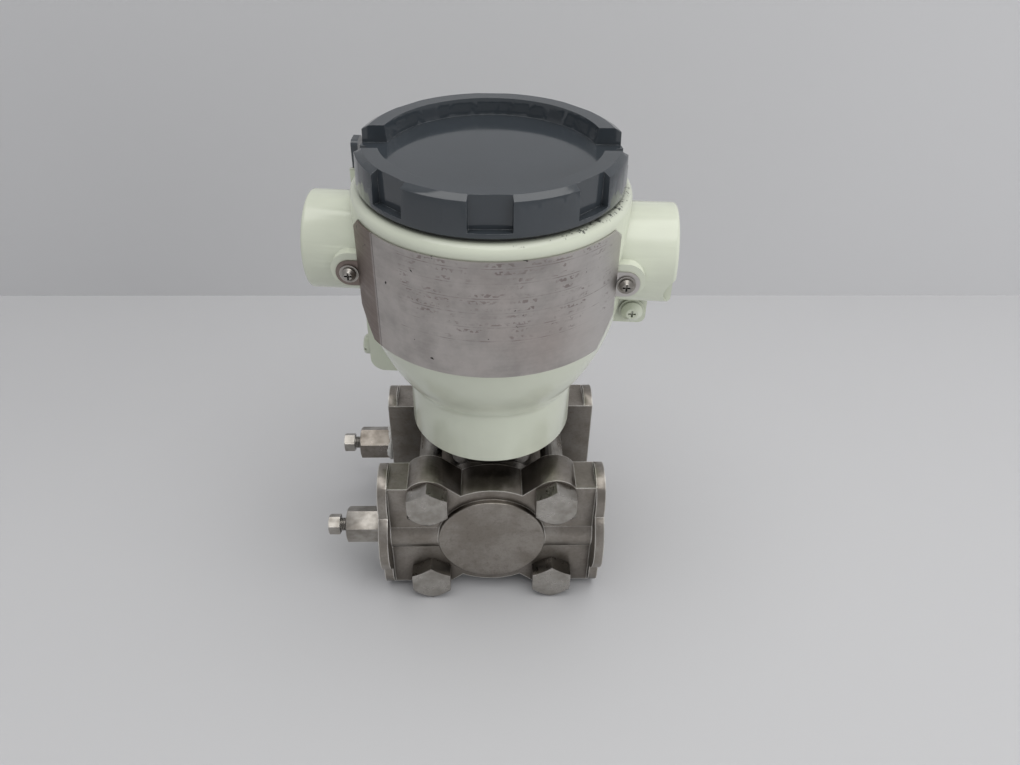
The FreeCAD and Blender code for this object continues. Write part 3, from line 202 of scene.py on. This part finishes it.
def cast_steel():
    """Pickled stainless casting: brownish grey, finely pitted, with painted shade in hollows and
    lighter edges, partly polish and partly painted highlight.
    """
    paint = Paint("cast_steel", Metallic=1.0)
    blotch, fine = paint.noise(60, 4), paint.noise(260, 4, 0.7)
    grain, pits = paint.noise(900, 4, 0.7), paint.noise(2600, 2)
    color = paint.layer((0.27, 0.245, 0.215), (0.38, 0.352, 0.32), blotch, 0.35, 0.65)
    color = paint.layer(color, (0.20, 0.175, 0.15), fine, 0.5, 0.75, 0.5)
    color = paint.layer(color, (0.17, 0.15, 0.13), grain, 0.45, 0.75, 0.3)
    # painted shade: darker in hollows, between the flanges and under the housing, over a wide reach
    # and in tight corners
    color = paint.layer(color, (0.075, 0.064, 0.055), paint.corners(34 * MM), 0.25, 0.85, 0.88)
    color = paint.layer(color, (0.06, 0.05, 0.042), paint.corners(4 * MM), 0.25, 0.8, 0.75)
    # the machined discs in the middle of the flanges are brighter
    disc_radius, disc_face = 26 * MM, -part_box("front_flange")[0].y - 0.6 * MM
    near = paint.math("LESS_THAN", paint.math("ABSOLUTE", paint.axis("X")), disc_radius)
    proud = paint.math("GREATER_THAN", paint.math("ABSOLUTE", paint.axis("Y")), disc_face)
    disc = paint.layer((0.50, 0.475, 0.45), (0.64, 0.61, 0.58), paint.noise(300, 4, 0.7), 0.3, 0.7)
    color = paint.mix(paint.product(near, proud, 0.85), color, disc)
    # lighter edges: partly polish where the casting is handled, partly painted highlight along its
    # edges
    rubbed = paint.between(paint.noise(140, 3), 0.3, 0.5, 0.5, 1.0)
    worn = paint.product(paint.edges(0.8 * MM, 0.008, 0.10), rubbed)
    color = paint.mix(worn, color, (0.92, 0.90, 0.85))
    unevenness = paint.math("ADD", blotch, paint.product(grain, 0.5))
    paint.bump(grain, 0.07 * MM, 0.5)
    paint.bump(pits, 0.02 * MM, 0.5)
    return paint.finish(color, paint.between(unevenness, 0.4, 1.0, 0.27, 0.46))


def turned_steel(name, bright, dark, rough, lines=(500, 60, 500)):
    """Machined stainless with fine tool marks, closer together along the axes of larger lines."""
    paint = Paint(name, Metallic=1.0)
    marks = paint.noise(60, 3, 0.7, paint.stretched(*(scale / 60 for scale in lines)))
    blotch = paint.noise(130, 3)
    color = paint.layer(bright, dark, blotch, 0.35, 0.7)
    # painted shade: darker in hollows and between parts, over a wide reach and in tight corners
    color = paint.layer(color, (0.06, 0.05, 0.043), paint.corners(25 * MM), 0.45, 0.9, 0.85)
    color = paint.layer(color, (0.07, 0.06, 0.05), paint.corners(3 * MM), 0.3, 0.9, 0.8)
    # painted highlight: lighter along the edges
    color = paint.mix(paint.product(paint.edges(0.35 * MM), 0.7), color, (0.85, 0.83, 0.79))
    paint.bump(marks, 0.015 * MM, 0.6)
    return paint.finish(color, paint.between(paint.math("ADD", marks, blotch), 0.7, 1.3, *rough))


def enamel(name, base, shade, chip, rough, peel, wear, rim=None):
    """Sprayed gloss enamel: orange peel of a height, painted shade in corners, chips along edges.

    The chips spread as wear falls. The rim is the height of a dirt line under the cover."""
    paint = Paint(name, Coat_Weight=0.25, Coat_Roughness=0.08, Specular_IOR_Level=0.5)
    cloud, speck = paint.noise(28, 3), paint.noise(420, 4, 0.75)
    color = paint.layer(base, shade, cloud, 0.3, 0.7)
    color = paint.layer(color, darker(shade, 0.55), speck, 0.74, 0.84, 0.12)
    # painted shade in corners and hollows
    color = paint.layer(color, darker(shade, 0.30), paint.corners(6 * MM), 0.3, 0.95, 0.7)
    flaked = paint.between(paint.noise(230, 4, 0.7), wear, wear + 0.12)
    worn = paint.product(paint.edges(0.45 * MM, 0.05, 0.4), flaked, 0.75)
    color = paint.mix(worn, color, chip)
    if rim:
        # small black chips and dirt along the rim, most of them on the right
        reach = paint.between(paint.axis("X"), -20 * MM, 45 * MM, 0.3, 1.0)
        height = paint.axis("Z")
        band = paint.product(paint.between(height, rim - 2.2 * MM, rim - 0.2 * MM), reach)
        crowd = paint.math("ADD", paint.noise(420, 5, 0.75), paint.product(band, 0.17))
        chips = paint.product(paint.between(crowd, 0.70, 0.74), band, 1.3)
        color = paint.mix(chips, color, (0.05, 0.055, 0.05))
        color = paint.layer(color, (0.20, 0.21, 0.18), height, rim - 1.2 * MM, rim + 0.2 * MM, 0.35)
    unevenness = paint.math("ADD", cloud, paint.product(speck, 0.25))
    paint.bump(paint.noise(520, 1), peel, 0.25)
    paint.bump(paint.noise(60, 1), peel, 0.4)
    return paint.finish(color, paint.between(unevenness, 0.4, 0.9, *rough))


def plain(name, color, dark, rough, metallic=0.0, scale=300, bump=0.01 * MM):
    """Moulded plastic, rubber or small metal: mottled colour, uneven gloss and fine grain."""
    paint = Paint(name, Metallic=metallic)
    cloud, grain = paint.noise(scale, 4, 0.7), paint.noise(scale * 6, 3)
    tone = paint.layer(color, dark, cloud, 0.35, 0.7)
    rubbed = [min(1, 0.15 + part * 1.3) for part in color]
    tone = paint.mix(paint.product(paint.edges(0.3 * MM), 0.35), tone, rubbed)
    paint.bump(grain, bump, 0.5)
    return paint.finish(tone, paint.between(cloud, 0.3, 0.7, *rough))


PLATE_BAND_END = math.radians(-51)
PLATE_ROW, PLATE_MARGIN, PLATE_BARE = 5.6 * MM, 4 * MM, 14 * MM


def nameplate_steel():
    """Worn brushed sheet with a ruled form, blotches, painted sheen towards its right end and a
    darker band at its left end.
    """
    paint = Paint("nameplate_steel", Metallic=1.0)
    low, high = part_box("nameplate")
    x, y, z = (paint.axis(name) for name in "XYZ")
    angle = paint.math("ARCTAN2", x, paint.product(y, -1.0))
    brushed = paint.noise(40, 4, 0.7, paint.stretched(1, 1, 30))
    blotch = paint.noise(75, 5, 0.65)
    color = paint.layer((0.50, 0.47, 0.45), (0.40, 0.375, 0.36), blotch, 0.3, 0.7)
    color = paint.layer(color, (0.50, 0.43, 0.40), paint.noise(22, 3, 0.5), 0.5, 0.72, 0.4)
    # painted sheen: the plate grows lighter towards its right end
    color = paint.layer(color, (0.62, 0.60, 0.58), angle, 0.35, 0.85, 0.7)
    # ruled rows, cut off where the darker end band begins
    above = paint.math("SUBTRACT", z, low.z + PLATE_MARGIN)
    rows = paint.math("FRACT", paint.product(above, 1 / PLATE_ROW))
    inside = paint.product(paint.between(angle, PLATE_BAND_END + 0.22, PLATE_BAND_END + 0.26),
                           paint.between(angle, 0.95, 0.9),
                           paint.between(z, low.z + PLATE_BARE, low.z + PLATE_BARE + 1 * MM))
    faded = paint.between(paint.noise(160, 3), 0.42, 0.65, 0.05, 0.5)
    line = paint.product(paint.math("LESS_THAN", rows, 0.055), inside, faded)
    color = paint.mix(line, color, (0.16, 0.12, 0.115))
    # worn print between the rows: no word can be read
    across = paint.product(angle, high.z * 0.27)
    flat = paint.add("ShaderNodeCombineXYZ", {0: across, 1: z}).outputs[0]
    strokes = paint.between(paint.noise(760, 1, 0.4, flat), 0.50, 0.54)
    words = paint.between(paint.noise(95, 1, 0.4, flat), 0.44, 0.47)
    half = paint.math("FRACT", paint.product(rows, 2.0))
    upright = paint.product(paint.math("GREATER_THAN", half, 0.30),
                            paint.math("LESS_THAN", half, 0.78))
    color = paint.mix(paint.product(strokes, words, upright, inside, faded, 1.1), color,
                      (0.17, 0.12, 0.115))
    # the band, the line at its end and a few dark spots
    band = paint.between(angle, PLATE_BAND_END, PLATE_BAND_END - 0.03)
    color = paint.mix(paint.product(band, 0.8), color, (0.19, 0.145, 0.125))
    away = paint.math("ABSOLUTE", paint.math("SUBTRACT", angle, PLATE_BAND_END))
    color = paint.mix(paint.product(paint.math("LESS_THAN", away, 0.006), 0.6), color,
                      (0.12, 0.10, 0.10))
    color = paint.layer(color, (0.04, 0.035, 0.035), paint.noise(330, 2, 0.4), 0.735, 0.76)
    unevenness = paint.math("ADD", blotch, brushed)
    paint.bump(brushed, 0.015 * MM, 0.5)
    return paint.finish(color, paint.between(unevenness, 0.6, 1.35, 0.30, 0.55))


def make_looks():
    """The finish of each material slot of the record."""
    return {
        "stainless_cast": cast_steel(),
        "stainless_machined": turned_steel("turned_steel", (0.42, 0.40, 0.37), (0.30, 0.28, 0.25),
                                           rough=(0.28, 0.44), lines=(40, 900, 900)),
        "stainless_bolt": turned_steel("bolt_steel", (0.47, 0.45, 0.42), (0.33, 0.31, 0.28),
                                       rough=(0.24, 0.40)),
        "housing_enamel": enamel("housing_enamel", (0.66, 0.695, 0.575), (0.61, 0.64, 0.53),
                                 chip=(0.42, 0.42, 0.36), rough=(0.16, 0.26), peel=0.018 * MM,
                                 wear=0.52, rim=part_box("housing")[1].z),
        "cover_enamel": enamel("cover_enamel", (0.043, 0.051, 0.060), (0.038, 0.045, 0.052),
                               chip=(0.42, 0.44, 0.45), rough=(0.08, 0.15), peel=0.02 * MM,
                               wear=0.45),
        "nameplate_steel": nameplate_steel(),
        "black_rubber": plain("black_rubber", (0.018, 0.018, 0.018), (0.03, 0.03, 0.028),
                              rough=(0.45, 0.65)),
        "black_plastic": plain("black_plastic", (0.010, 0.010, 0.011), (0.013, 0.013, 0.013),
                               rough=(0.18, 0.24), scale=120, bump=0.001 * MM),
        "white_ptfe": plain("white_ptfe", (0.78, 0.78, 0.76), (0.62, 0.61, 0.58),
                            rough=(0.4, 0.6)),
        "board_green": plain("board_green", (0.02, 0.16, 0.06), (0.015, 0.11, 0.045),
                             rough=(0.25, 0.4)),
        "case_plastic": plain("case_plastic", (0.055, 0.06, 0.065), (0.04, 0.042, 0.046),
                              rough=(0.45, 0.65), bump=0.05 * MM),
        "terminal_plastic": plain("terminal_plastic", (0.04, 0.04, 0.042), (0.03, 0.03, 0.03),
                                  rough=(0.35, 0.5)),
        "plated_brass": plain("plated_brass", (0.70, 0.60, 0.36), (0.50, 0.41, 0.22),
                              rough=(0.25, 0.45), metallic=1.0),
        "header_glass": plain("header_glass", (0.30, 0.31, 0.30), (0.20, 0.21, 0.20),
                              rough=(0.2, 0.35), metallic=0.6),
    }


def paint_nodes():
    """Gives every CAD node its material: that of its slot, or a duller steel of its own."""
    dull = turned_steel("dull_steel", (0.40, 0.38, 0.35), (0.26, 0.24, 0.215), rough=(0.30, 0.46))
    brown = turned_steel("vent_steel", (0.33, 0.30, 0.27), (0.20, 0.175, 0.15), rough=(0.26, 0.42))
    # the cell takes the duller, darker steel partly as painted shade, as it sits in shadow between
    # the flanges
    duller = {"nameplate_washers": dull, "nameplate_screws": dull, "cell_body": dull,
              "front_vent_body": dull, "rear_vent_body": brown}
    for part in frame["record"]["subparts"]:
        name, slot = part["node"], part["material_slot"]
        nodes[name].data.materials.clear()
        nodes[name].data.materials.append(duller.get(name, looks[slot]))


# ---- Soft edges ------------------------------------------------------------------------------

EDGE_ROUNDING = {"front_flange": 0.5 * MM, "rear_flange": 0.5 * MM, "top_cover": 0.35 * MM,
                 "housing": 0.5 * MM, "flange_bolts": 0.15 * MM, "flange_nuts": 0.15 * MM,
                 "front_vent_body": 0.15 * MM, "rear_vent_body": 0.15 * MM}
MERGE_DISTANCE = 0.001 * MM
FLAT_WITHIN = math.radians(0.6)
SHARP_FROM = math.radians(32)


def soften(name, width):
    """Rounds the sharp edges of a CAD node a little."""
    node = nodes[name]
    node.modifiers.new("weld", "WELD").merge_threshold = MERGE_DISTANCE
    flat = node.modifiers.new("flat", "DECIMATE")
    flat.decimate_type, flat.angle_limit = "DISSOLVE", FLAT_WITHIN
    bevel = node.modifiers.new("bevel", "BEVEL")
    bevel.width, bevel.segments = width, 2
    bevel.limit_method, bevel.angle_limit = "ANGLE", SHARP_FROM
    bevel.harden_normals = True


# ---- Added pieces ----------------------------------------------------------------------------

PORT_Z = 34.05 * MM
BOLT_X, BOLT_RISE, BOLT_RADIUS = 27.0 * MM, 23.8 * MM, 5.0 * MM


def add_piece(name, points, faces, body, slot):
    """A new piece from points and faces, riding on a body, with the finish of a slot."""
    mesh = bpy.data.meshes.new(name)
    mesh.from_pydata(points, [], faces)
    mesh.validate()
    for face in mesh.polygons:
        face.use_smooth = True
    piece = bpy.data.objects.new(name, mesh)
    bpy.context.scene.collection.objects.link(piece)
    mesh.materials.append(looks[slot])
    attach(piece, body)


def tube_faces(rings, size, closed=False):
    """Quads that join rings of points one after the other, with end caps unless closed."""
    faces = []
    for ring in range(rings if closed else rings - 1):
        first, second = ring * size, (ring + 1) % rings * size
        for number in range(size):
            after = (number + 1) % size
            faces.append((first + number, first + after, second + after, second + number))
    if not closed:
        last = (rings - 1) * size
        faces += [tuple(range(size))[::-1], tuple(last + number for number in range(size))]
    return faces


def axes_across(axis):
    """Two directions at right angles to an axis and to each other."""
    side = axis.cross(Vector((0, 0, 1)) if abs(axis.z) < 0.9 else Vector((0, 1, 0))).normalized()
    return side, axis.cross(side)


# ---- Threads ---------------------------------------------------------------------------------

def add_thread(name, body, slot, start, axis, radius, length, pitch, depth, steps):
    """One helical ridge on a shank, or in a bore where the depth is negative.

    Each turn has a number of steps, and the ridge fades in and out within a third of a turn."""
    start, axis = Vector(start), Vector(axis).normalized()
    side, across = axes_across(axis)
    count = int(length / pitch * steps)
    fading = steps * 0.3
    points = []
    for step in range(count + 1):
        angle = 2 * math.pi * step / steps
        outward = side * math.cos(angle) + across * math.sin(angle)
        fade = min(1.0, step / fading + 0.02, (count - step) / fading + 0.02)
        height = pitch * step / steps
        root, crest = radius - depth * 0.15, radius + depth * fade
        for reach, offset in ((root, -0.42), (crest, -0.1), (crest, 0.1), (root, 0.42)):
            points.append(start + axis * (height + offset * pitch * fade) + outward * reach)
    add_piece(name, points, tube_faces(count + 1, 4), body, slot)


def add_hole_thread(name, body, slot, inset, length, **shape):
    """A thread in an open hole of the record, from a little way inside its mouth."""
    mount = mounts[name]
    axis = Vector(mount["axis"])
    add_thread(name + "_thread", body, slot, Vector(mount["pos_m"]) - axis * inset, -axis,
               radius=mount["dims"]["r_mm"] * MM, length=length, **shape)


def add_hole_threads():
    """Threads in the open cable entry, the process ports and the holes of the pads."""
    for name, body, slot, pitch, plain_end in (
            ("cable_entry", "head", "housing_enamel", 1.81 * MM, 5.0),
            ("front_process_port", "process_side", "stainless_cast", 1.41 * MM, 2.0),
            ("rear_process_port", "process_side", "stainless_cast", 1.41 * MM, 2.0)):
        length = (mounts[name]["dims"]["length_mm"] - plain_end) * MM
        add_hole_thread(name, body, slot, inset=1.6 * MM, length=length, pitch=pitch,
                        depth=-0.55 * MM, steps=48)
    for name in mounts:
        if name.endswith("pad_hole"):
            add_hole_thread(name, "process_side", "stainless_cast", inset=1.2 * MM,
                            length=9.5 * MM, pitch=1.27 * MM, depth=-0.4 * MM, steps=32)


def add_cover_threads():
    """The fine thread in the housing's mouth and the one on the cover's spigot."""
    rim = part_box("housing")[1].z
    cover_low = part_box("top_cover")[0].z
    shape = {"axis": (0, 0, 1), "pitch": 1.5 * MM, "steps": 120}
    add_thread("housing_mouth_thread", "head", "housing_enamel", (0, 0, rim - 9.6 * MM),
               radius=43.7 * MM, length=7.8 * MM, depth=-0.13 * MM, **shape)
    add_thread("cover_spigot_thread", "cover", "cover_enamel", (0, 0, cover_low + 1.2 * MM),
               radius=43.4 * MM, length=6.8 * MM, depth=0.12 * MM, **shape)


def add_bolt_threads():
    """The threads of the flange bolts, where they stand out of their nuts."""
    nut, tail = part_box("flange_nuts")[1].y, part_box("flange_bolts")[1].y
    for number, (x, z) in enumerate(((-1, -1), (1, -1), (-1, 1), (1, 1)), start=1):
        start = (x * BOLT_X, nut + 0.2 * MM, PORT_Z + z * BOLT_RISE)
        add_thread("bolt_thread_%d" % number, "process_side", "stainless_bolt", start, (0, 1, 0),
                   radius=BOLT_RADIUS - 0.25 * MM, length=tail - nut - 0.4 * MM, pitch=1.0 * MM,
                   depth=0.38 * MM, steps=36)


def add_vent_threads():
    """The threads of the vent screws, from behind their heads into their plugs."""
    for name in ("front", "rear"):
        low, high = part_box(name + "_vent_stem")
        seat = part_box(name + "_vent_body")[0].x
        start = Vector((low.x + 5.3 * MM, (low.y + high.y) / 2, PORT_Z))
        add_thread(name + "_vent_thread", name + "_vent_screw", "stainless_machined", start,
                   (1, 0, 0), radius=2.62 * MM, length=seat - low.x - 3.2 * MM, pitch=0.7 * MM,
                   depth=0.3 * MM, steps=28)


# ---- Sealing tape and welds ------------------------------------------------------------------

TAPE_INNER, TAPE_OUTER, TAPE_FLAP = 5.85, 8.35, 1.5


def add_sealing_tape():
    """White sealing tape squeezed out round the rear vent plug, with ragged edges."""
    low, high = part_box("rear_vent_body")
    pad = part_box("rear_flange")[0].x
    middle = Vector((pad, (low.y + high.y) / 2, PORT_Z))
    count, points = 90, []
    reach = [random.uniform(-0.25, 0.35) for number in range(count)]
    for number in range(count):
        angle = 2 * math.pi * number / count
        rough = (reach[number - 1] + reach[number] + reach[(number + 1) % count]) / 2
        waves = 0.15 * math.sin(3 * angle + 1) + 0.1 * math.sin(7 * angle)
        outer = TAPE_OUTER + 0.4 * rough + waves
        flap = TAPE_FLAP + 1.6 * rough + 0.5 * math.sin(4 * angle + 2)
        # the section in millimetres: out along the pad, round the flap's edge and back
        for radius, offset in ((TAPE_INNER, -0.06), (outer - 0.6, -0.1), (outer, -0.5),
                               (outer + 0.1, -0.3 - flap), (outer - 0.15, -0.32 - flap),
                               (outer - 0.25, -0.72), (TAPE_INNER, -0.72)):
            points.append(middle + Vector((offset, math.cos(angle) * radius,
                                           math.sin(angle) * radius)) * MM)
    add_piece("rear_vent_tape", points, tube_faces(count, 7, closed=True), "process_side",
              "white_ptfe")


def add_bead(name, middle, axis, radius, width):
    """A welded seam: a low ring with the ripples of the weld pool."""
    axis = Vector(axis)
    side, across = axes_across(axis)
    count, corners, ripples, points = 300, 8, 76, []
    for number in range(count):
        angle = 2 * math.pi * number / count
        outward = side * math.cos(angle) + across * math.sin(angle)
        ripple = 1 + 0.16 * abs(math.sin(angle * ripples / 2)) + random.uniform(-0.03, 0.03)
        for turn in range(corners):
            lean = 2 * math.pi * turn / corners
            points.append(Vector(middle)
                          + outward * (radius + math.cos(lean) * width * 0.5 * ripple)
                          + axis * (math.sin(lean) * width * ripple))
    add_piece(name, points, tube_faces(count, corners, closed=True), "process_side",
              "stainless_machined")


def add_weld_beads():
    """Seams where the cell's collars and its neck are welded on."""
    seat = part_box("sensor_neck")[0].z
    add_bead("neck_weld", (0, 0, seat), (0, 0, 1), radius=18.2 * MM, width=1.1 * MM)
    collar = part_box("cell_body")[1].y - 4.0 * MM
    for name, y in (("front_cell_weld", -collar), ("rear_cell_weld", collar)):
        add_bead(name, (0, y, PORT_Z), (0, 1, 0), radius=26.1 * MM, width=1.0 * MM)


# ---- Stage -----------------------------------------------------------------------------------

STAGE_WIDE, STAGE_NEAR, WALL_Y, WALL_TOP = 2.2, -1.6, 0.217, 0.9
FLOOR_TONE, WALL_TONE = (0.58, 0.58, 0.59), (0.62, 0.62, 0.63)


def stage_panel(name, corners, tone, one_sided=False):
    mesh = bpy.data.meshes.new(name)
    mesh.from_pydata(corners, [], [tuple(range(len(corners)))])
    panel = bpy.data.objects.new(name, mesh)
    bpy.context.scene.collection.objects.link(panel)
    paint = Paint(name, Roughness=0.6, Specular_IOR_Level=0.25)
    color = paint.mix(paint.noise(3, 2), tone, darker(tone, 0.97))
    panel.data.materials.append(paint.finish(color))
    if one_sided:
        # from behind the panel is clear, so that it never hides the part
        back = paint.add("ShaderNodeNewGeometry").outputs["Backfacing"]
        clear = paint.add("ShaderNodeBsdfTransparent").outputs[0]
        shown = paint.add("ShaderNodeMixShader", {0: back, 1: paint.shader.outputs[0], 2: clear})
        surface = paint.tree.nodes["Material Output"].inputs["Surface"]
        paint.tree.links.new(shown.outputs[0], surface)


def build_panels():
    """A pale floor under the part and a pale wall behind it."""
    floor_z = cad_box[0][2]
    left, right = -STAGE_WIDE, STAGE_WIDE
    stage_panel("floor", [(left, STAGE_NEAR, floor_z), (right, STAGE_NEAR, floor_z),
                          (right, WALL_Y, floor_z), (left, WALL_Y, floor_z)], FLOOR_TONE)
    stage_panel("backdrop", [(left, WALL_Y, floor_z), (right, WALL_Y, floor_z),
                             (right, WALL_Y, WALL_TOP), (left, WALL_Y, WALL_TOP)],
                WALL_TONE, one_sided=True)


def build_world():
    """Soft light all round, and a pale background for the camera, reflections and glass."""
    world = bpy.data.worlds.new("studio")
    bpy.context.scene.world = world
    world.use_nodes = True
    tree = world.node_tree
    soft, seen = tree.nodes["Background"], tree.nodes.new("ShaderNodeBackground")
    for background, color, strength in ((soft, (0.97, 0.98, 1.0, 1), 0.50),
                                        (seen, (0.98, 0.98, 1.0, 1), 0.43)):
        background.inputs["Color"].default_value = color
        background.inputs["Strength"].default_value = strength
    rays, either, both, shown = (tree.nodes.new(kind) for kind in (
        "ShaderNodeLightPath", "ShaderNodeMath", "ShaderNodeMath", "ShaderNodeMixShader"))
    either.operation = both.operation = "MAXIMUM"
    for source, target in ((rays.outputs["Is Camera Ray"], either.inputs[0]),
                           (rays.outputs["Is Glossy Ray"], either.inputs[1]),
                           (either.outputs[0], both.inputs[0]),
                           (rays.outputs["Is Transmission Ray"], both.inputs[1]),
                           (both.outputs[0], shown.inputs[0]),
                           (soft.outputs[0], shown.inputs[1]),
                           (seen.outputs[0], shown.inputs[2]),
                           (shown.outputs[0], tree.nodes["World Output"].inputs["Surface"])):
        tree.links.new(source, target)


def add_lights():
    """A large lamp overhead, and a fill from the right that shows in no reflection."""
    add_light("fill", (1.05, -0.65, 0.45), (0, 0, 0.07), size=1.0, power=5.0, shine=False)
    add_light("overhead", (0.08, -0.05, 1.35), (0, 0, 0.08), size=1.4, power=11.5,
              color=(1.0, 0.99, 0.97))


build_panels()
build_world()
add_lights()
add_camera()
looks = make_looks()
paint_nodes()
for name, width in EDGE_ROUNDING.items():
    soften(name, width)
add_hole_threads()
add_cover_threads()
add_bolt_threads()
add_vent_threads()
add_sealing_tape()
add_weld_beads()

bpy.context.scene.view_settings.view_transform = "Standard"
